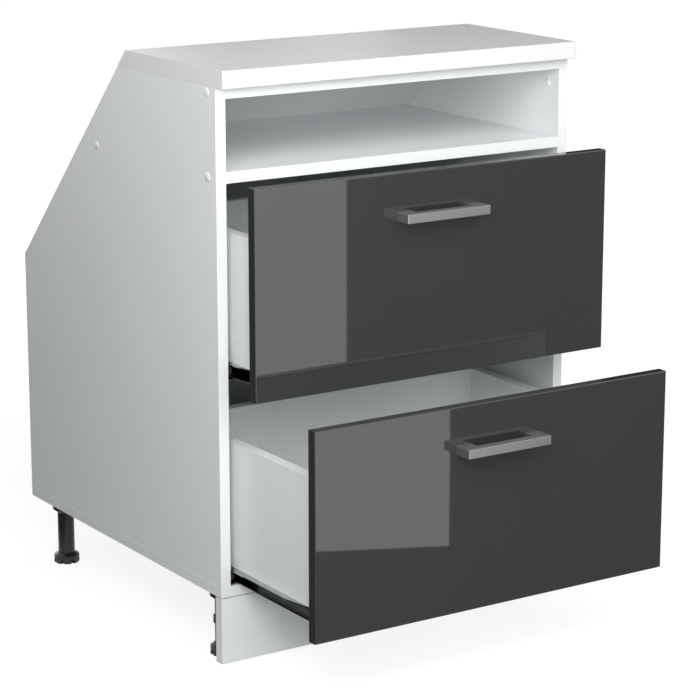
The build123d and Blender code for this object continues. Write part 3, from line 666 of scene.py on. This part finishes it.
# Runners: two rails screwed in the carcass and two under the box sides of each drawer.
# Roll formed galvanised steel strip with dark plastic rollers on riveted axles.
def galvanised_strip():
    """Hot dip galvanising leaves a flat spangle of grey crystals that differ a little in
    brightness, 1.5 mm across and drawn 3 mm. The grey is dark, partly as a dark passivation
    and partly as painted shade for the shaded webs under the lips. A band within 1.3 mm of
    the drawer rails' top is painted light grey, a painted reflection of the white board above."""
    sheet, spangle_size, roll_mark = 1.2 * mm, 3 * mm, 1.2 * mm
    material, tree, place = fresh("galvanised_strip")
    spangle = add(tree, "ShaderNodeTexVoronoi", inputs={
        "Vector": place, "Scale": 1 / spangle_size})
    shade = add(tree, "ShaderNodeSeparateColor", inputs={0: spangle.outputs["Color"]})
    tone = add(tree, "ShaderNodeMix", {"data_type": "RGBA"}, {
        0: shade.outputs[0], 6: paint("6C6F71"), 7: paint("646769")}).outputs[2]
    split = add(tree, "ShaderNodeSeparateXYZ", inputs={0: place})
    # Painted reflection: a band at the top of the drawer rails is painted light grey for the
    # white board mirrored in their lips.
    lip = None
    for rail in ("lower_left_drawer_rail", "upper_left_drawer_rail"):
        zone = add(tree, "ShaderNodeMath", {"operation": "COMPARE"}, {
            0: split.outputs[2], 1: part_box(rail)[1].z, 2: 1.1 * sheet}).outputs[0]
        lip = zone if lip is None else add(
            tree, "ShaderNodeMath", {"operation": "MAXIMUM"}, {0: lip, 1: zone}).outputs[0]
    tone = add(tree, "ShaderNodeMix", {"data_type": "RGBA"}, {
        0: lip, 6: tone, 7: paint("B4B7B8")})
    shine = add(tree, "ShaderNodeMapRange", inputs={
        "Value": shade.outputs[1], "To Min": 0.13, "To Max": 0.2})
    rolled = add(tree, "ShaderNodeTexNoise", inputs={
        "Vector": place, "Scale": 1 / roll_mark, "Detail": 2.0, "Roughness": 0.5})
    bump = add(tree, "ShaderNodeBump", inputs={
        "Height": rolled.outputs[0], "Strength": 0.05, "Distance": 0.01 * mm})
    close(tree, add(tree, "ShaderNodeBsdfPrincipled", inputs={
        "Base Color": tone.outputs[2], "Metallic": 1.0, "Roughness": shine.outputs[0],
        "Normal": bump.outputs[0]}))
    return material


galvanised = galvanised_strip()
dark_roller = moulded_plastic("dark_moulded_rollers", "2E2F31", "262729", 0.36, 1.0, 0.03)
drawers = ("lower", "upper")
for drawer in drawers:
    for side in ("left", "right"):
        dress(galvanised, f"{drawer}_{side}_carcass_rail", f"{drawer}_{side}_drawer_rail")
        dress(dark_roller, f"{drawer}_{side}_front_roller", f"{drawer}_{side}_rear_roller")


# Drawer boxes.
# 16 mm sides and back, banded on top, with a 3 mm hardboard bottom let in grooves. Their
# screws, cam locks and bolts hold them on the fronts.
def cast_zinc():
    """Pressure cast zinc is duller and greyer than plating, with a fine cast skin."""
    skin_grain = 0.9 * mm
    material, tree, place = fresh("cast_zinc")
    skin = add(tree, "ShaderNodeTexNoise", inputs={
        "Vector": place, "Scale": 1 / skin_grain, "Detail": 4.0, "Roughness": 0.7})
    tone = add(tree, "ShaderNodeMix", {"data_type": "RGBA"}, {
        0: skin.outputs[0], 6: paint("A9A9A6"), 7: paint("979793")})
    bump = add(tree, "ShaderNodeBump", inputs={
        "Height": skin.outputs[0], "Strength": 0.4, "Distance": 0.08 * mm})
    close(tree, add(tree, "ShaderNodeBsdfPrincipled", inputs={
        "Base Color": tone.outputs[2], "Metallic": 1.0, "Roughness": 0.42,
        "Normal": bump.outputs[0]}))
    return material


cast = cast_zinc()
for drawer in drawers:
    top_band = banded(f"{drawer}_drawer_left_side", "z+")
    box_board = melamine_faced_chipboard(f"white_melamine_{drawer}_box", top_band)
    dress(box_board, f"{drawer}_drawer_left_side", f"{drawer}_drawer_right_side",
          f"{drawer}_drawer_back")
    dress(hardboard, f"{drawer}_drawer_bottom")
    cut_screws(f"{drawer}_box_screws", f"{drawer}_drawer", True)
    cut_screws(f"{drawer}_handle_screws", f"{drawer}_drawer", False)
    dress(cast, f"{drawer}_cam_locks", f"{drawer}_cam_bolts")


# Drawer fronts.
# 16 mm fibreboard, lacquered high gloss anthracite on the face and edges. The lacquer is
# sprayed in coats, rubbed flat and polished.
def gloss_lacquer():
    """Polished lacquer mirrors the room; a very shallow orange peel, about 9 mm from lump
    to lump, bends the mirrored edges a little."""
    peel_size, cloud_size = 9 * mm, 220 * mm
    material, tree, place = fresh("polished_anthracite_lacquer")
    peel = add(tree, "ShaderNodeTexNoise", inputs={
        "Vector": place, "Scale": 1 / peel_size, "Detail": 1.0, "Roughness": 0.4})
    cloud = add(tree, "ShaderNodeTexNoise", inputs={
        "Vector": place, "Scale": 1 / cloud_size, "Detail": 2.0, "Roughness": 0.5})
    tone = add(tree, "ShaderNodeMix", {"data_type": "RGBA"}, {
        0: cloud.outputs[0], 6: paint("323232"), 7: paint("2F2F2F")})
    bump = add(tree, "ShaderNodeBump", inputs={
        "Height": peel.outputs[0], "Strength": 0.02, "Distance": 0.05 * mm})
    close(tree, add(tree, "ShaderNodeBsdfPrincipled", inputs={
        "Base Color": tone.outputs[2], "Roughness": 0.03, "IOR": 1.8,
        "Normal": bump.outputs[0]}))
    return material


lacquer = gloss_lacquer()
for drawer in drawers:
    dress(lacquer, f"{drawer}_drawer_front")

# White film on the backs of the fronts.
# The side that the lacquer doesn't reach is faced with white melamine film, which the
# lacquer above or below mirrors.
film = melamine_faced_chipboard("white_backing_film")
film_thick, lacquer_edge = 0.15 * mm, 1.3 * mm
for drawer in drawers:
    low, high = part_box(f"{drawer}_drawer_front")
    backing = thin_sheet(f"{drawer}_front_film",
                         (low.x + lacquer_edge, high.y, low.z + lacquer_edge),
                         (high.x - lacquer_edge, high.y + film_thick, high.z - lacquer_edge),
                         0.05 * mm, film)
    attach(backing, f"{drawer}_drawer")


# Handles.
# Bar handles bent from flat steel, nickel plated and brushed along their length, screwed
# through the fronts 128 mm apart.
def brushed_nickel():
    """Brushing leaves fine long lines along the bar, which draw the highlight out across
    it. The lines are 0.25 mm wide and are drawn 0.6 mm."""
    line_width, line_draw = 0.6 * mm, 0.02
    material, tree, place = fresh("brushed_nickel")
    along = add(tree, "ShaderNodeMapping", inputs={
        "Vector": place, "Scale": (line_draw, 1.0, 1.0)})
    lines = add(tree, "ShaderNodeTexNoise", inputs={
        "Vector": along.outputs[0], "Scale": 1 / line_width, "Detail": 5.0, "Roughness": 0.7})
    tone = add(tree, "ShaderNodeMix", {"data_type": "RGBA"}, {
        0: lines.outputs[0], 6: paint("B2B2B1"), 7: paint("909090")})
    worn = add(tree, "ShaderNodeMapRange", inputs={
        "Value": lines.outputs[0], "From Min": 0.3, "From Max": 0.7, "To Min": 0.44,
        "To Max": 0.56})
    bump = add(tree, "ShaderNodeBump", inputs={
        "Height": lines.outputs[0], "Strength": 0.25, "Distance": 0.03 * mm})
    close(tree, add(tree, "ShaderNodeBsdfPrincipled", inputs={
        "Base Color": tone.outputs[2], "Metallic": 1.0, "Roughness": worn.outputs[0],
        "Normal": bump.outputs[0]}))
    return material


nickel = brushed_nickel()
dress(nickel, "lower_handle", "upper_handle")


# Floor and backdrop of the studio.
# A matt painted floor under an even sky. Both show white to the camera and in
# reflections, while the light that they throw on the cabinet stays plain.
def studio_floor():
    """The grey paint keeps the cabinet's soft shadow. A glow that only the camera and
    mirroring or clear surfaces see lifts it to white, fully so away from the cabinet."""
    glow_near, glow_far, near, far = 0.84, 0.99, 0.9, 4.0
    grain_size = 30 * mm
    material, tree, place = fresh("studio_floor")
    grain = add(tree, "ShaderNodeTexNoise", inputs={
        "Vector": place, "Scale": 1 / grain_size, "Detail": 3.0})
    tone = add(tree, "ShaderNodeMix", {"data_type": "RGBA"}, {
        0: grain.outputs[0], 6: paint("8E8E8E"), 7: paint("8C8C8C")})
    matt = add(tree, "ShaderNodeBsdfDiffuse", inputs={"Color": tone.outputs[2]})
    seen = add(tree, "ShaderNodeLightPath")
    direct = add(tree, "ShaderNodeMath", {"operation": "MAXIMUM"}, {
        0: seen.outputs["Is Camera Ray"], 1: seen.outputs["Is Glossy Ray"]})
    shown = add(tree, "ShaderNodeMath", {"operation": "MAXIMUM"}, {
        0: direct.outputs[0], 1: seen.outputs["Is Transmission Ray"]})
    away = add(tree, "ShaderNodeVectorMath", {"operation": "LENGTH"}, {0: place})
    lift = add(tree, "ShaderNodeMapRange", {"interpolation_type": "SMOOTHSTEP"}, {
        "Value": away.outputs["Value"], "From Min": near, "From Max": far,
        "To Min": glow_near, "To Max": glow_far})
    strength = add(tree, "ShaderNodeMath", {"operation": "MULTIPLY"}, {
        0: shown.outputs[0], 1: lift.outputs[0]})
    glow = add(tree, "ShaderNodeEmission", inputs={
        "Color": paint("FFFFFF"), "Strength": strength.outputs[0]})
    close(tree, add(tree, "ShaderNodeAddShader", inputs={0: matt.outputs[0], 1: glow.outputs[0]}))
    return material


floor_mesh = bpy.data.meshes.new("studio_floor")
half_floor = 8.0
floor_mesh.from_pydata([(x * half_floor, y * half_floor, 0.0) for x, y in
                        ((-1, -1), (1, -1), (1, 1), (-1, 1))], [], [(0, 1, 2, 3)])
floor = bpy.data.objects.new("studio_floor", floor_mesh)
bpy.context.scene.collection.objects.link(floor)
floor_mesh.materials.append(studio_floor())

world = bpy.data.worlds.new("studio")
bpy.context.scene.world = world
world.use_nodes = True
sky = world.node_tree
sky.nodes.clear()
ray = add(sky, "ShaderNodeLightPath")
open_ray = add(sky, "ShaderNodeMath", {"operation": "MAXIMUM"}, {
    0: ray.outputs["Is Camera Ray"], 1: ray.outputs["Is Glossy Ray"]})
white_ray = add(sky, "ShaderNodeMath", {"operation": "MAXIMUM"}, {
    0: open_ray.outputs[0], 1: ray.outputs["Is Transmission Ray"]})
soft = add(sky, "ShaderNodeBackground", inputs={"Color": paint("F0F6F6"), "Strength": 0.195})
bright = add(sky, "ShaderNodeBackground", inputs={"Color": paint("FFFFFF"), "Strength": 1.0})
either = add(sky, "ShaderNodeMixShader", inputs={
    0: white_ray.outputs[0], 1: soft.outputs[0], 2: bright.outputs[0]})
add(sky, "ShaderNodeOutputWorld", inputs={"Surface": either.outputs[0]})


# Lamps of the studio.
# A wall of soft light stands in front, as wide as the set, with lower ones behind and on
# the right. A low softbox fills the plinth and two more model the left side and the top.
def softbox(name, place, target, width, height, power, mirrored=True):
    """An area lamp at place that faces target, in metres and watts. The camera never sees
    it, and only a mirrored one shows in gloss."""
    lamp = bpy.data.lights.new(name, "AREA")
    lamp.shape = "RECTANGLE"
    lamp.size = width
    lamp.size_y = height
    lamp.energy = power
    holder = bpy.data.objects.new(name, lamp)
    bpy.context.scene.collection.objects.link(holder)
    holder.location = place
    holder.rotation_euler = (Vector(target) - Vector(place)).to_track_quat("-Z", "Y").to_euler()
    holder.visible_camera = False
    holder.visible_glossy = mirrored
    return holder


softbox("front_light_wall", (-0.1, -2.0, 1.75), (0.0, 0.0, 0.7), 3.4, 2.3, 52.0, False)
softbox("low_softbox", (-0.9, -2.2, 0.25), (-0.1, -0.2, 0.1), 1.2, 0.4, 6.5, False)
softbox("left_softbox", (-1.10, -1.15, 1.20), (-0.2, 0.0, 0.6), 0.8, 0.8, 13.8)
softbox("top_softbox", (0.2, -1.2, 2.5), (0.0, 0.0, 0.6), 1.4, 1.0, 1.0)
softbox("rear_light_wall", (0.3, 3.2, 0.75), (0.0, 0.4, 0.5), 3.6, 1.1, 38.0)
softbox("right_light_wall", (2.9, 0.2, 0.75), (0.2, 0.1, 0.5), 3.2, 1.1, 34.0, False)

# Cards and sheets that only glossy surfaces see.
# Glowing ones in front and at the left paint a bright reflected patch on the lacquered
# fronts and painted highlights on the metal's left ends. Dim ones on the floor and behind
# paint darker reflections on the rest of the fronts, rails and handles, to keep them deep.
def glossy_only(name, corners, strength):
    """A flat even card of that strength, where 1 is white. It shows in reflections and
    nowhere else."""
    shape = bpy.data.meshes.new(name)
    shape.from_pydata(corners, [], [tuple(range(len(corners)))])
    holder = bpy.data.objects.new(name, shape)
    bpy.context.scene.collection.objects.link(holder)
    material, tree, place = fresh(name)
    close(tree, add(tree, "ShaderNodeEmission", inputs={
        "Color": paint("FFFFFF"), "Strength": strength}))
    shape.materials.append(material)
    for ray_kind in ("camera", "diffuse", "transmission", "volume_scatter", "shadow"):
        setattr(holder, f"visible_{ray_kind}", False)


def upright(right, left, low, high):
    """The corners of a card that stands between two (x, y) places."""
    return [(*right, low), (*left, low), (*left, high), (*right, high)]


def lying(left, front, right, back, height):
    """The corners of a sheet that lies flat."""
    return [(left, front, height), (right, front, height), (right, back, height),
            (left, back, height)]


glossy_only("reflector_card", upright((0.221, -0.830), (-1.35, -1.57), 0.036, 1.6), 1.28)
glossy_only("side_card", upright((-1.5, -1.7), (-1.5, -0.3), 0.0, 1.6), 0.9)
glossy_only("floor_sheet", lying(-3.0, -4.0, 4.0, -0.45, 1 * mm), 0.215)
glossy_only("rear_floor_sheet", lying(-4.0, -0.4, -0.36, 4.0, 2 * mm), 0.05)
glossy_only("rear_drape", upright((1.4, 3.0), (3.5, 3.0), 1.1, 1.85), 0.03)

# Camera.
# A long lens from the left of the front, a little above the worktop, as in the photo.
down, turn = math.radians(13.782), math.radians(33.159)
lens = bpy.data.cameras.new("camera")
lens.lens = 131.995
lens.sensor_width = 36.0
eye = bpy.data.objects.new("camera", lens)
bpy.context.scene.collection.objects.link(eye)
eye.location = (-2.0190, -3.12085, 1.3033)
eye.rotation_euler = (math.pi / 2 - down, 0.0, -turn)
bpy.context.scene.camera = eye
bpy.context.scene.view_settings.view_transform = "Standard"
